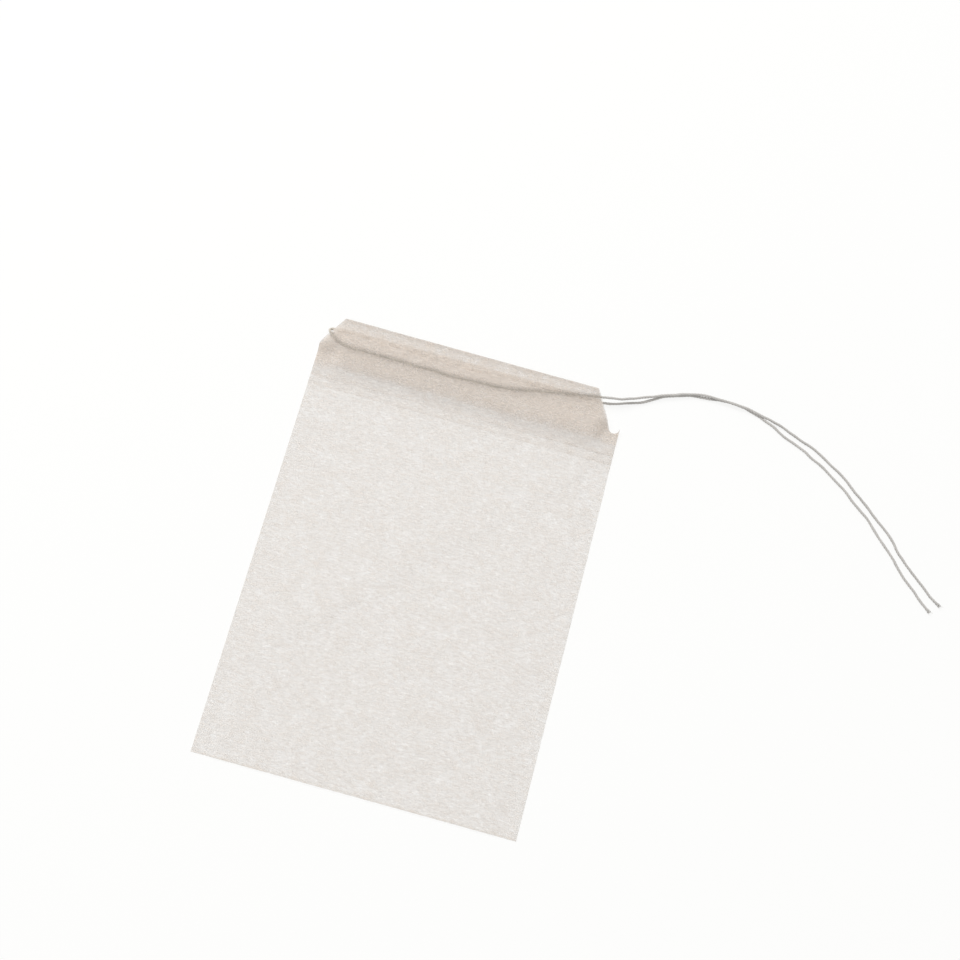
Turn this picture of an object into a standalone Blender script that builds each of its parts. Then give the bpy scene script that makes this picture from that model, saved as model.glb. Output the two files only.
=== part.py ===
"""Drawstring tea filter bag, empty and lying flat.

One sheet of unbleached filter paper is folded at the bottom and turned inwards at both hems. It is
heat-sealed along its sides and hems, and die-cut at its sides and top corners. One cotton thread runs
through the front hem, round the left corner and back through the rear hem, and leaves as two tails.

Metres, +Z up. X runs across the bag and Y towards its mouth. The origin is under the middle of the
pouch, on the surface that it lies on.
"""

import math

import bmesh
import bpy
from mathutils import Vector

# Driving dimensions of the paper pouch
BAG_WIDTH = 0.070
BAG_LENGTH = 0.100
PAPER = 0.00012
HEM_DEPTH = 0.0142
FOLD_OFFSET = 0.002  # the rear hem's fold lies this much lower than the front one's
HEM_SEAL = 0.0025  # width of the band that seals a flap to its panel
HEM_RAMP = 0.0038  # length over which a hem opens from its seal to its full height
SIDE_SEAM = 0.003
SEAM_TOP_DROP = 0.009  # the side seams end this far below the front fold
SEAM_RELIEF = 0.003  # distance from a seam at which the layers have come apart
PLY_GAP = 0.00002  # between layers that are pressed together
SEAL_INSET = 0.0002  # the weld stops this far inside its band
MOUTH_GAP = 0.00025  # between the panels, and between the two hems
SLACK = 0.0005  # how far the front panel stands up at its middle
HEM_STEP_RUN = 0.0045  # length over which the front panel climbs onto the flaps

# Driving dimensions of the drawstring
THREAD = 0.0005
THREAD_PLAY = 0.00025  # clear space on each side of the thread in its channel
THREAD_REST_GAP = 0.00003  # under the thread, where it lies on the surface

# Die-cut corners, measured from the side edge and down from the front fold
LEFT_CUT_IN = 0.0043
LEFT_CUT_DOWN = 0.0071
RIGHT_CUT_IN = 0.0071
HOLE_RADIUS = 0.0013  # the punched hole whose half is left beside the right corner
HOLE_DOWN = 0.0076

# Fineness of the mesh
FOLD_STEPS = 6
BODY_STEPS = 7
RAMP_STEPS = 4
CROSS_STEPS = 8
HEM_STEPS = 9
HOLE_STEPS = 8
THREAD_POINTS = 80
THREAD_SIDES_RESOLUTION = 2

TRIM = 0.001  # raw sheet beyond the side edges, taken off by the die
OVERCUT = 0.005
DIE_FLOOR = -0.001
DIE_CEILING = 0.008

# Levels and lines that follow from those
HALF_WIDTH = BAG_WIDTH / 2
CHANNEL = THREAD + 2 * THREAD_PLAY
FRONT_FOLD = BAG_LENGTH
BACK_FOLD = BAG_LENGTH - FOLD_OFFSET
FRONT_FLAP_EDGE = FRONT_FOLD - HEM_DEPTH
BACK_FLAP_EDGE = BACK_FOLD - HEM_DEPTH
CLIMB_START = (BACK_FLAP_EDGE + FRONT_FLAP_EDGE) / 2 - HEM_STEP_RUN
SEAM_INNER = HALF_WIDTH - SIDE_SEAM
SEAM_TOP = BAG_LENGTH - SEAM_TOP_DROP
BACK_THREAD_Z = PAPER + CHANNEL / 2
FRONT_THREAD_Z = 3 * PAPER + CHANNEL + MOUTH_GAP + CHANNEL / 2

MM = 0.001
# The thread's route. In the hems: share of the half width across, and millimetres below the front fold.
FRONT_HEM_ROUTE = [
    (0.657, 3.1),
    (0.451, 4.45),
    (0.229, 5.9),
    (-0.057, 6.5),
    (-0.371, 6.5),
    (-0.686, 6.4),
    (-0.84, 6.3),
]
BACK_HEM_ROUTE = [(-0.7, 2.7), (-0.4, 3.05), (-0.057, 3.2), (0.286, 3.0), (0.6, 2.9)]
# Loop at the left corner: millimetres in from the left edge, below the front fold, and share of the way
# down from the front channel to the rear one.
LOOP_ROUTE = [
    (3.4, 5.5, 0),
    (2.3, 4.55, 0),
    (1.5, 3.85, 0.12),
    (1.3, 3.4, 0.45),
    (1.6, 2.95, 0.82),
    (2.5, 2.7, 1),
    (4.1, 2.75, 1),
]
# Each tail: millimetres in from the right edge and below the front fold at its exit, then the way from
# there and the height above its resting place, up to its bare end.
FRONT_EXIT = (5.9, 1.9)
FRONT_TAIL_ROUTE = [
    (3.9, 0.8, 1.63),
    (8.4, 2.5, 0.93),
    (12.9, 4.4, 0.55),
    (18.1, 6.35, 0.51),
    (24.4, 7.35, 0.51),
    (31.4, 7.3, 0.51),
    (37.7, 6.35, 0.3),
    (43.4, 4.45, 0),
    (50.4, 1.5, 0),
    (57.3, -2.7, 0),
    (62.5, -6.5, 0),
    (68.2, -11.3, 0),
    (73.1, -16.2, 0),
    (78.9, -21.6, 0),
    (83.9, -25.5, 0),
]
BACK_EXIT = (5.4, 2.65)
BACK_TAIL_ROUTE = [
    (3.6, 0.75, 0.23),
    (7.9, 2.45, 0.03),
    (12.7, 4.95, 0),
    (17.8, 6.95, 0),
    (23.9, 8.0, 0),
    (30.9, 7.9, 0),
    (36.7, 6.45, 0),
    (41.4, 4.15, 0),
    (47.9, 1.25, 0),
    (54.4, -2.35, 0),
    (60.7, -7.25, 0),
    (67.2, -13.15, 0),
    (72.8, -18.95, 0),
    (77.6, -23.45, 0),
    (81.3, -26.75, 0),
]


def clear_scene():
    for thing in list(bpy.data.objects):
        bpy.data.objects.remove(thing, do_unlink=True)


def linear(hex_colour):
    """An sRGB colour written as RRGGBB, as linear RGBA."""
    channels = [int(hex_colour[i : i + 2], 16) / 255 for i in (0, 2, 4)]
    return [c / 12.92 if c <= 0.04045 else ((c + 0.055) / 1.055) ** 2.4 for c in channels] + [1.0]


def material(name, hex_colour, roughness):
    made = bpy.data.materials.new(name)
    made.use_nodes = True
    shader = made.node_tree.nodes["Principled BSDF"]
    shader.inputs["Base Color"].default_value = linear(hex_colour)
    shader.inputs["Roughness"].default_value = roughness
    shader.inputs["Metallic"].default_value = 0.0
    return made


def smooth(share):
    """Eases from 0 to 1."""
    held = min(max(share, 0.0), 1.0)
    return held * held * (3 - 2 * held)


def even(start, end, steps):
    return [start + (end - start) * i / steps for i in range(steps + 1)]


# Middle height of each layer of paper, at a distance s up from the bottom fold. A lift of 0 is pressed
# flat in a seam, and 1 is as open as it lies.


def back_opening(s):
    return CHANNEL * smooth((s - BACK_FLAP_EDGE - HEM_SEAL) / HEM_RAMP)


def front_opening(s):
    return CHANNEL * smooth((s - FRONT_FLAP_EDGE - HEM_SEAL) / HEM_RAMP)


def back_panel(s, lift):
    return PAPER / 2


def back_flap(s, lift):
    return back_panel(s, lift) + PAPER + PLY_GAP + lift * back_opening(s)


def front_flap(s, lift):
    flat = PAPER / 2 + 2 * (PAPER + PLY_GAP)
    return flat + lift * (back_opening(s) + MOUTH_GAP)


def front_panel(s, lift):
    on_flaps = smooth((s - CLIMB_START) / HEM_STEP_RUN)
    flat = PAPER / 2 + (1 + 2 * on_flaps) * (PAPER + PLY_GAP)
    return flat + lift * (back_opening(s) + front_opening(s) + MOUTH_GAP)


def lift_at(x, s):
    """How far the layers are open, from the distance to the nearer side seam."""
    across = max(0.0, SEAM_INNER - abs(x))
    above = max(0.0, s - SEAM_TOP)
    return smooth(math.hypot(across, above) / SEAM_RELIEF)


def slack_at(x):
    return SLACK * max(0.0, 1 - (x / SEAM_INNER) ** 2)


def slack_share(s):
    """The front panel stands up most halfway between the bottom fold and the hem."""
    return math.sin(math.pi * min(s / BACK_FLAP_EDGE, 1.0))


def run(level, stations, side, slack=False):
    """Middle line of a layer along its stations: (s, flat z, open z, normal s, normal z, slack)."""
    return [(s, level(s, 0), level(s, 1), 0.0, side, slack_share(s) if slack else 0.0) for s in stations]


def fold_centre(outermost, lower, upper, way):
    """Where the middle of a fold's half circle lies. way is 1 at the mouth and -1 at the bottom."""
    radius = (upper(outermost, 1) - lower(outermost, 1)) / 2
    return outermost - way * (PAPER / 2 + radius), radius


def fold(outermost, lower, upper, way):
    """Middle line round a fold, without its two ends. It turns clockwise, seen along +X."""
    centre, radius = fold_centre(outermost, lower, upper, way)
    points = []
    for step in range(1, FOLD_STEPS):
        angle = math.pi / 2 - math.pi * step / FOLD_STEPS
        if way < 0:
            angle -= math.pi
        levels = []
        for lift in (0, 1):
            low = lower(centre, lift)
            high = upper(centre, lift)
            levels.append((low + high) / 2 + (high - low) / 2 * math.sin(angle))
        along = centre + radius * math.cos(angle)
        points.append((along, levels[0], levels[1], math.cos(angle), math.sin(angle), 0.0))
    return points


def body_rows(start):
    """Rows up the body from the bottom fold to the rear flap's edge."""
    return [*even(start, CLIMB_START, BODY_STEPS), *even(CLIMB_START, BACK_FLAP_EDGE, RAMP_STEPS)[1:]]


def hem_rows():
    """Rows that all the layers of the hem share, from the rear flap's edge to where they lie open."""
    between_edges = even(BACK_FLAP_EDGE, FRONT_FLAP_EDGE, 2)
    return [*between_edges[:-1], *even(FRONT_FLAP_EDGE, SEAM_TOP + SEAM_RELIEF, HEM_STEPS)]


def sheet_outline():
    """Section of the folded sheet: out along one face of the paper and back along the other."""
    back_turn = fold_centre(BACK_FOLD, back_panel, back_flap, 1)[0]
    front_turn = fold_centre(FRONT_FOLD, front_flap, front_panel, 1)[0]
    bottom_turn = fold_centre(0.0, back_panel, front_panel, -1)[0]
    hem = hem_rows()
    front_hem = [s for s in hem if s >= FRONT_FLAP_EDGE]
    line = run(back_flap, [*hem, back_turn], 1)
    line += fold(BACK_FOLD, back_panel, back_flap, 1)
    line += run(back_panel, [back_turn, bottom_turn], -1)
    line += fold(0.0, back_panel, front_panel, -1)
    line += run(front_panel, [*body_rows(bottom_turn), *hem[1:], front_turn], 1, slack=True)
    line += fold(FRONT_FOLD, front_flap, front_panel, 1)
    line += run(front_flap, [front_turn, *reversed(front_hem)], -1)
    outline = []
    for side, points in ((1, line), (-1, reversed(line))):
        for s, flat, opened, across, up, slack in points:
            outward = side * PAPER / 2
            outline.append((s + outward * across, flat + outward * up, opened + outward * up, slack))
    return outline


def filling_outline(lower, upper, stations):
    """Section of what joins two layers: from the middle of one to the middle of the other."""
    low = [(s, lower(s, 0), lower(s, 1), 0.0) for s in stations]
    high = [(s, upper(s, 0), upper(s, 1), 0.0) for s in stations]
    return low + high[::-1]


def new_object(name, bm, look=None):
    bmesh.ops.triangulate(bm, faces=bm.faces[:])
    bmesh.ops.recalc_face_normals(bm, faces=bm.faces[:])
    mesh = bpy.data.meshes.new(name)
    bm.to_mesh(mesh)
    bm.free()
    made = bpy.data.objects.new(name, mesh)
    bpy.context.collection.objects.link(made)
    if look:
        mesh.materials.append(look)
    return made


def extruded(bm, edges, axis, place):
    """Extrudes a closed ring of edges to a place along an axis, and gives the new ring."""
    made = bmesh.ops.extrude_edge_only(bm, edges=edges)["geom"]
    for part in made:
        if isinstance(part, bmesh.types.BMVert):
            part.co[axis] = place
    return [part for part in made if isinstance(part, bmesh.types.BMEdge)]


def swept(name, outline, stations, look=None):
    """A section carried across the bag, opened away from the side seams."""
    bm = bmesh.new()
    flat_layer = bm.verts.layers.float.new("flat")
    open_layer = bm.verts.layers.float.new("open")
    slack_layer = bm.verts.layers.float.new("slack")
    ring = []
    for s, flat, opened, slack in outline:
        corner = bm.verts.new((stations[0], s, flat))
        corner[flat_layer] = flat
        corner[open_layer] = opened
        corner[slack_layer] = slack
        ring.append(corner)
    edges = bm.faces.new(ring).edges[:]
    for station in stations[1:]:
        edges = extruded(bm, edges, 0, station)
    bmesh.ops.contextual_create(bm, geom=edges)
    for corner in bm.verts:
        x, s, _ = corner.co
        lift = lift_at(x, s)
        height = corner[flat_layer] + lift * (corner[open_layer] - corner[flat_layer])
        corner.co.z = height + corner[slack_layer] * slack_at(x)
        corner.co.y = s - BAG_LENGTH / 2
    return new_object(name, bm, look)


def cross_stations():
    """Places across the bag: close together beside the seams, wide apart between them."""
    relief = even(SEAM_INNER - SEAM_RELIEF, SEAM_INNER, RAMP_STEPS)
    right = [*relief, HALF_WIDTH + TRIM]
    middle = even(-relief[0], relief[0], CROSS_STEPS)
    return [-x for x in reversed(right[1:])] + middle + right[1:]


def prism(name, outline):
    """A cutter with a flat outline, tall enough to pass right through the bag."""
    bm = bmesh.new()
    floor = bm.faces.new([bm.verts.new((x, s - BAG_LENGTH / 2, DIE_FLOOR)) for x, s in outline])
    ceiling_edges = extruded(bm, floor.edges[:], 2, DIE_CEILING)
    bmesh.ops.contextual_create(bm, geom=ceiling_edges)
    return new_object(name, bm)


def left_die():
    """Trims the left edge and slants the left corner."""
    slope = Vector((LEFT_CUT_IN, LEFT_CUT_DOWN)).normalized()
    shoulder = Vector((-HALF_WIDTH, FRONT_FOLD - LEFT_CUT_DOWN))
    corner = Vector((LEFT_CUT_IN - HALF_WIDTH, FRONT_FOLD))
    far = -HALF_WIDTH - OVERCUT
    past = corner + slope * OVERCUT
    return prism(
        "left_die",
        [(-HALF_WIDTH, -OVERCUT), tuple(shoulder), tuple(past), (far, past.y), (far, -OVERCUT)],
    )


def right_die():
    """Trims the right edge, and slants the right corner down to the half of a punched hole."""
    corner = Vector((HALF_WIDTH - RIGHT_CUT_IN, FRONT_FOLD))
    hole = Vector((HALF_WIDTH - HOLE_RADIUS, FRONT_FOLD - HOLE_DOWN))
    to_corner = corner - hole
    towards = math.atan2(to_corner.y, to_corner.x)
    tangent = towards + math.acos(HOLE_RADIUS / to_corner.length)
    angles = even(tangent, 2 * math.pi, HOLE_STEPS)
    rim = [(hole.x + HOLE_RADIUS * math.cos(a), hole.y + HOLE_RADIUS * math.sin(a)) for a in angles]
    past = corner + (corner - Vector(rim[0])).normalized() * OVERCUT
    far = HALF_WIDTH + OVERCUT
    return prism(
        "right_die",
        [tuple(past), *rim[:-1], (HALF_WIDTH, hole.y), (HALF_WIDTH, -OVERCUT), (far, -OVERCUT), (far, past.y)],
    )


def apply_tool(target, tool, operation):
    """Adds or cuts one solid with another, which stays in the scene as a guide."""
    step = target.modifiers.new(tool.name, "BOOLEAN")
    step.operation = operation
    step.object = tool
    step.solver = "EXACT"
    tool.hide_render = True
    tool.display_type = "WIRE"


def make_pouch():
    paper = material("unbleached_filter_paper", "DDD5CA", 0.95)
    stations = cross_stations()
    pouch = swept("filter_pouch", sheet_outline(), stations, paper)
    past_edge = HALF_WIDTH + 1.5 * TRIM
    seam_rows = [*body_rows(2 * PAPER), *[s for s in hem_rows()[1:] if s < SEAM_TOP], SEAM_TOP]
    seam = filling_outline(back_panel, front_panel, seam_rows)
    within_edge = HALF_WIDTH + TRIM / 2
    wide = [-within_edge, *stations[1:-1], within_edge]
    back_seal = even(BACK_FLAP_EDGE + SEAL_INSET, BACK_FLAP_EDGE + HEM_SEAL - SEAL_INSET, RAMP_STEPS)
    front_seal = even(FRONT_FLAP_EDGE + SEAL_INSET, FRONT_FLAP_EDGE + HEM_SEAL - SEAL_INSET, RAMP_STEPS)
    seals = [
        swept("left_seam", seam, [-past_edge, -SEAM_INNER - SEAL_INSET]),
        swept("right_seam", seam, [SEAM_INNER + SEAL_INSET, past_edge]),
        swept("back_hem_seal", filling_outline(back_panel, back_flap, back_seal), wide),
        swept("front_hem_seal", filling_outline(front_flap, front_panel, front_seal), wide),
    ]
    for seal in seals:
        apply_tool(pouch, seal, "UNION")
    for die in (left_die(), right_die()):
        apply_tool(pouch, die, "DIFFERENCE")
    return pouch


def from_front_fold(x, below, z):
    return Vector((x, BAG_LENGTH / 2 - below, z))


def tail_points(exit_place, z, route):
    """A tail's points, from where it leaves its hem to its bare end."""
    start = from_front_fold(HALF_WIDTH - exit_place[0] * MM, exit_place[1] * MM, z)
    points = [start]
    for x, y, above in route:
        points.append(Vector((start.x + x * MM, start.y + y * MM, THREAD / 2 + THREAD_REST_GAP + above * MM)))
    return points


def route_points():
    """The whole thread, from the end of the front tail to the end of the rear one."""
    front_tail = tail_points(FRONT_EXIT, FRONT_THREAD_Z, FRONT_TAIL_ROUTE)
    back_tail = tail_points(BACK_EXIT, BACK_THREAD_Z, BACK_TAIL_ROUTE)
    front = [from_front_fold(x * HALF_WIDTH, s * MM, FRONT_THREAD_Z) for x, s in FRONT_HEM_ROUTE]
    back = [from_front_fold(x * HALF_WIDTH, s * MM, BACK_THREAD_Z) for x, s in BACK_HEM_ROUTE]
    drop = BACK_THREAD_Z - FRONT_THREAD_Z
    loop = [from_front_fold(x * MM - HALF_WIDTH, s * MM, FRONT_THREAD_Z + drop * z) for x, s, z in LOOP_ROUTE]
    return front_tail[::-1] + front + loop + back + back_tail


def blend_points(first, second, from_knot, to_knot, knot):
    share = (knot - from_knot) / (to_knot - from_knot)
    return first.lerp(second, share)


def on_curve(points, at):
    """Centripetal Catmull-Rom curve through points, at a place counted in spans."""
    ends = [2 * points[0] - points[1], *points, 2 * points[-1] - points[-2]]
    span = min(int(at), len(points) - 2)
    near = ends[span : span + 4]
    knots = [0.0]
    for a, b in zip(near, near[1:]):
        knots.append(knots[-1] + math.sqrt((b - a).length))
    knot = knots[1] + (at - span) * (knots[2] - knots[1])
    row = near
    for reach in (1, 2, 3):
        pairs = range(len(row) - 1)
        if reach < 3:
            row = [blend_points(row[i], row[i + 1], knots[i], knots[i + reach], knot) for i in pairs]
        else:
            row = [blend_points(row[0], row[1], knots[1], knots[2], knot)]
    return row[0]


def make_drawstring():
    cotton = material("twisted_cotton_thread", "CFCBC2", 0.9)
    points = route_points()
    last = len(points) - 1
    curve = bpy.data.curves.new("drawstring", "CURVE")
    curve.dimensions = "3D"
    curve.bevel_depth = THREAD / 2
    curve.bevel_resolution = THREAD_SIDES_RESOLUTION
    curve.render_resolution_u = 0
    curve.use_fill_caps = True
    spline = curve.splines.new("POLY")
    spline.points.add(THREAD_POINTS - 1)
    for i, place in enumerate(spline.points):
        place.co = (*on_curve(points, last * i / (THREAD_POINTS - 1)), 1.0)
    spline.use_smooth = True
    made = bpy.data.objects.new("drawstring", curve)
    bpy.context.collection.objects.link(made)
    curve.materials.append(cotton)
    return made


def main():
    clear_scene()
    make_pouch()
    make_drawstring()


main()
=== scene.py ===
"""Drawstring tea filter bag: its paper, its thread and the stage, built round the CAD frame.

The pouch is one sheet of heat-seal filter paper. Its blank is drawn flat, scored, folded to the levels of
the CAD pouch and given its thickness. The drawstring is one three-ply cotton thread, laid along the CAD
thread's route: hidden in both hems, bare at the left corner, and free in two tails.

Metres, +Z up. X runs across the bag and Y towards its mouth.
"""

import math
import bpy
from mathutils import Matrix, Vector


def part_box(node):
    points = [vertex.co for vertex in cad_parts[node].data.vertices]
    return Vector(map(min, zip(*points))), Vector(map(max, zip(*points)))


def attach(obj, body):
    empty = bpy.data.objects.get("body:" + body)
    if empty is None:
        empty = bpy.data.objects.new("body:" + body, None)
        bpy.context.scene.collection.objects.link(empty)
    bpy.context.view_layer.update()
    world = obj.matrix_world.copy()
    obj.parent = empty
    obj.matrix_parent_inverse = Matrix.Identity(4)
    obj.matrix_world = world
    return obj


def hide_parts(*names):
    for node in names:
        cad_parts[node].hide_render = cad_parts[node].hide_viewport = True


bl_info = {
    "name": "Tea filter bag",
    "version": (1, 0, 0),
    "blender": (4, 5, 0),
    "location": "3D View > Sidebar > Tea filter bag",
    "description": "Folds an empty drawstring tea filter bag from paper and thread, and sets its stage",
    "category": "Object",
}

import bmesh
import bpy
from bpy.props import FloatProperty, FloatVectorProperty, IntProperty, PointerProperty
from mathutils import Vector, noise

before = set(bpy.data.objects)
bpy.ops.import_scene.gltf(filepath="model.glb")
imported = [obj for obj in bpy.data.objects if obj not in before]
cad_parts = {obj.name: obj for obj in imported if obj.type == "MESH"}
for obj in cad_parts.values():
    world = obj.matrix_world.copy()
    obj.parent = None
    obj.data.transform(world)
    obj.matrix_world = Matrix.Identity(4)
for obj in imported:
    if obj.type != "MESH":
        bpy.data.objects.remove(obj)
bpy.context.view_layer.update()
POUCH_LOW, POUCH_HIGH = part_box("filter_pouch")

MM = 0.001
HALF_WIDTH = POUCH_HIGH.x
BAG_LENGTH = POUCH_HIGH.y - POUCH_LOW.y
BODY = "root"

# The thread's route. In the hems: share of the half width across, and millimetres below the front fold.
FRONT_HEM_ROUTE = [
    (0.657, 3.1),
    (0.451, 4.45),
    (0.229, 5.9),
    (-0.057, 6.5),
    (-0.371, 6.5),
    (-0.686, 6.4),
    (-0.84, 6.3),
]
BACK_HEM_ROUTE = [(-0.7, 2.7), (-0.4, 3.05), (-0.057, 3.2), (0.286, 3.0), (0.6, 2.9)]
# Loop at the left corner: millimetres in from the left edge, below the front fold, and share of the way
# down from the front channel to the rear one.
LOOP_ROUTE = [
    (3.4, 5.5, 0),
    (2.3, 4.55, 0),
    (1.5, 3.85, 0.12),
    (1.3, 3.4, 0.45),
    (1.6, 2.95, 0.82),
    (2.5, 2.7, 1),
    (4.1, 2.75, 1),
]
# Each tail: millimetres in from the right edge and below the front fold at its exit, then the way from
# there and the height above its resting place, up to its bare end.
FRONT_EXIT = (5.9, 1.9)
FRONT_TAIL_ROUTE = [
    (3.9, 0.8, 1.63),
    (8.4, 2.5, 0.93),
    (12.9, 4.4, 0.55),
    (18.1, 6.35, 0.51),
    (24.4, 7.35, 0.51),
    (31.4, 7.3, 0.51),
    (37.7, 6.35, 0.3),
    (43.4, 4.45, 0),
    (50.4, 1.5, 0),
    (57.3, -2.7, 0),
    (62.5, -6.5, 0),
    (68.2, -11.3, 0),
    (73.1, -16.2, 0),
    (78.9, -21.6, 0),
    (83.9, -25.5, 0),
]
BACK_EXIT = (5.4, 2.65)
BACK_TAIL_ROUTE = [
    (3.6, 0.75, 0.23),
    (7.9, 2.45, 0.03),
    (12.7, 4.95, 0),
    (17.8, 6.95, 0),
    (23.9, 8.0, 0),
    (30.9, 7.9, 0),
    (36.7, 6.45, 0),
    (41.4, 4.15, 0),
    (47.9, 1.25, 0),
    (54.4, -2.35, 0),
    (60.7, -7.25, 0),
    (67.2, -13.15, 0),
    (72.8, -18.95, 0),
    (77.6, -23.45, 0),
    (81.3, -26.75, 0),
]


def linear_colour(hex_colour):
    """An sRGB colour written as RRGGBB, as linear RGBA."""
    channels = [int(hex_colour[i : i + 2], 16) / 255 for i in (0, 2, 4)]
    return [c / 12.92 if c <= 0.04045 else ((c + 0.055) / 1.055) ** 2.4 for c in channels] + [1.0]


def length(name, description, default):
    """A size in metres that a user may change."""
    return FloatProperty(
        name=name, description=description, default=default, min=0.0, unit="LENGTH", precision=5
    )


def place_in_space(name, description, default):
    """A place in metres that a user may change."""
    return FloatVectorProperty(
        name=name, description=description, default=default, unit="LENGTH", subtype="TRANSLATION"
    )


def colour(name, description, hex_colour):
    """A colour that a user may change."""
    return FloatVectorProperty(
        name=name,
        description=description,
        default=linear_colour(hex_colour),
        size=4,
        min=0.0,
        max=1.0,
        subtype="COLOR",
    )


class PaperSettings(bpy.types.PropertyGroup):
    """Sizes and colours of the folded filter paper."""

    thickness: length("Paper thickness", "Thickness of one layer", 0.00012)
    hem_depth: length("Hem depth", "How far each hem is turned in", 0.0142)
    fold_offset: length("Fold offset", "How much lower the rear hem's fold lies than the front one's", 0.002)
    hem_seal: length("Hem seal", "Width of the band that seals a flap to its panel", 0.0025)
    hem_ramp: length("Hem ramp", "Length over which a hem opens from its seal", 0.0038)
    side_seam: length("Side seam", "Width of the side seams", 0.003)
    seam_drop: length("Seam drop", "How far below the front fold the side seams end", 0.009)
    seam_relief: length("Seam relief", "Distance from a seam at which the layers have come apart", 0.003)
    ply_gap: length("Ply gap", "Gap between layers that are pressed together", 0.00002)
    mouth_gap: length("Mouth gap", "Gap between the two panels and between the two hems", 0.00025)
    channel: length("Channel", "Height that the thread's channel opens to", 0.001)
    slack: length("Slack", "How far the front panel stands up at its middle", 0.0005)
    climb: length("Climb", "Length over which the front panel climbs onto the flaps", 0.0045)
    left_cut_in: length("Left cut, in", "Left corner's cut, in from the side edge", 0.0043)
    left_cut_down: length("Left cut, down", "Left corner's cut, down from the front fold", 0.0071)
    right_cut_in: length("Right cut, in", "Right corner's cut, in from the side edge", 0.0071)
    hole_radius: length("Hole radius", "Radius of the punched hole beside the right corner", 0.0013)
    hole_down: length("Hole drop", "How far below the front fold that hole's middle lies", 0.0076)
    base: colour("Paper", "Colour of the unbleached filter paper", "F4EEE8")
    # Painted shade: the paper's colour is mixed towards this one in its hollows, on the front fold's crease,
    # over the front hem, beside a flap's cut edge and over the strand
    shadow: colour("Shaded paper", "Colour that the paper turns to in its hollows", "5E5850")
    opacity: FloatProperty(
        name="Opacity",
        description="Share of the light that one face of the paper doesn't let straight through",
        default=0.178,
        min=0.0,
        max=1.0,
        subtype="FACTOR",
    )


class ThreadSettings(bpy.types.PropertyGroup):
    """Sizes and colour of the drawstring."""

    diameter: length("Diameter", "Thickness of the whole thread", 0.0005)
    rest_gap: length("Rest gap", "Gap under the thread where it lies on the surface", 0.00007)
    twist: length("Twist", "Length of one turn of the three plies", 0.0021)
    plies: IntProperty(
        name="Plies", description="Number of strands twisted together", default=3, min=2, max=6
    )
    base: colour("Thread", "Colour of the unbleached cotton", "CECBC7")
    # A paler copy of the thread's own colour: painted light that stands in for the blur of the paper over it
    hidden: colour("Thread in hems", "Colour of the stretch under the paper", "D6CFC4")


class StageSettings(bpy.types.PropertyGroup):
    """Camera, floor and light."""

    lens: FloatProperty(
        name="Lens", description="Focal length on a 36 mm wide sensor", default=50.0, unit="CAMERA"
    )
    place: place_in_space(
        "Camera place", "Where the camera hangs over the bag", (0.00816, -0.05136, 0.28528)
    )
    turn: FloatVectorProperty(
        name="Camera turn",
        description="Tilt and roll of the camera from looking straight down",
        default=[math.radians(a) for a in (14.052, -3.775, 15.014)],
        unit="ROTATION",
        subtype="EULER",
    )
    floor: colour("Floor", "Colour of the table", "FDFDFC")
    floor_drop: length("Floor drop", "Gap between the table and the paper that lies on it", 0.00004)
    surroundings: FloatProperty(
        name="Surroundings", description="How strongly the white surroundings light the bag", default=0.62
    )
    lamp_place: place_in_space("Lamp place", "Where the soft lamp hangs", (-0.45, 0.55, 0.75))
    lamp_size: length("Lamp size", "Diameter of the soft lamp", 0.5)
    lamp_power: FloatProperty(
        name="Lamp power", description="Power of the soft lamp", default=6.8, min=0.0, unit="POWER"
    )


def add_node(tree, kind, inputs=None, **settings):
    """Adds a shader node. inputs gives each socket a value, or the socket that feeds it."""
    node = tree.nodes.new(kind)
    for name, value in settings.items():
        setattr(node, name, value)
    for name, value in (inputs or {}).items():
        if isinstance(value, bpy.types.NodeSocket):
            tree.links.new(value, node.inputs[name])
        else:
            node.inputs[name].default_value = value
    return node


def new_material(name):
    """An empty material, its node tree and its output."""
    made = bpy.data.materials.new(name)
    made.use_nodes = True
    made.node_tree.nodes.clear()
    return made, made.node_tree, add_node(made.node_tree, "ShaderNodeOutputMaterial")


def smooth(share):
    """Eases from 0 to 1."""
    held = min(max(share, 0.0), 1.0)
    return held * held * (3 - 2 * held)


def even(start, end, spacing):
    """Places from start to end, evenly spread and about one spacing apart."""
    steps = max(1, round(abs(end - start) / spacing))
    return [start + (end - start) * i / steps for i in range(steps + 1)]


def blend_points(first, second, from_knot, to_knot, knot):
    """The place between two points that a knot has between theirs."""
    share = (knot - from_knot) / (to_knot - from_knot)
    return first.lerp(second, share)


def on_curve(points, at):
    """Centripetal Catmull-Rom curve through points, at a place counted in spans."""
    ends = [2 * points[0] - points[1], *points, 2 * points[-1] - points[-2]]
    span = min(int(at), len(points) - 2)
    near = ends[span : span + 4]
    knots = [0.0]
    for a, b in zip(near, near[1:]):
        knots.append(knots[-1] + math.sqrt((b - a).length))
    knot = knots[1] + (at - span) * (knots[2] - knots[1])
    row = near
    for reach in (1, 2, 3):
        pairs = range(len(row) - 1)
        if reach < 3:
            row = [blend_points(row[i], row[i + 1], knots[i], knots[i + reach], knot) for i in pairs]
        else:
            row = [blend_points(row[0], row[1], knots[1], knots[2], knot)]
    return row[0]


def from_front_fold(x, below, z):
    """A place given by how far it lies below the front fold."""
    return Vector((x, POUCH_HIGH.y - below, z))


# Below this length, the level side of a stretch of thread is too short to give its direction
NEARLY_UPRIGHT = 0.05


def side_of(points, i):
    """The way ahead along the thread at a point, and the level direction square to it."""
    ahead = (points[min(i + 1, len(points) - 1)] - points[max(i - 1, 0)]).normalized()
    across = ahead.cross(Vector((0, 0, 1)))
    if across.length < NEARLY_UPRIGHT:
        across = ahead.cross(Vector((0, 1, 0)))
    return ahead, across.normalized()


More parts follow.
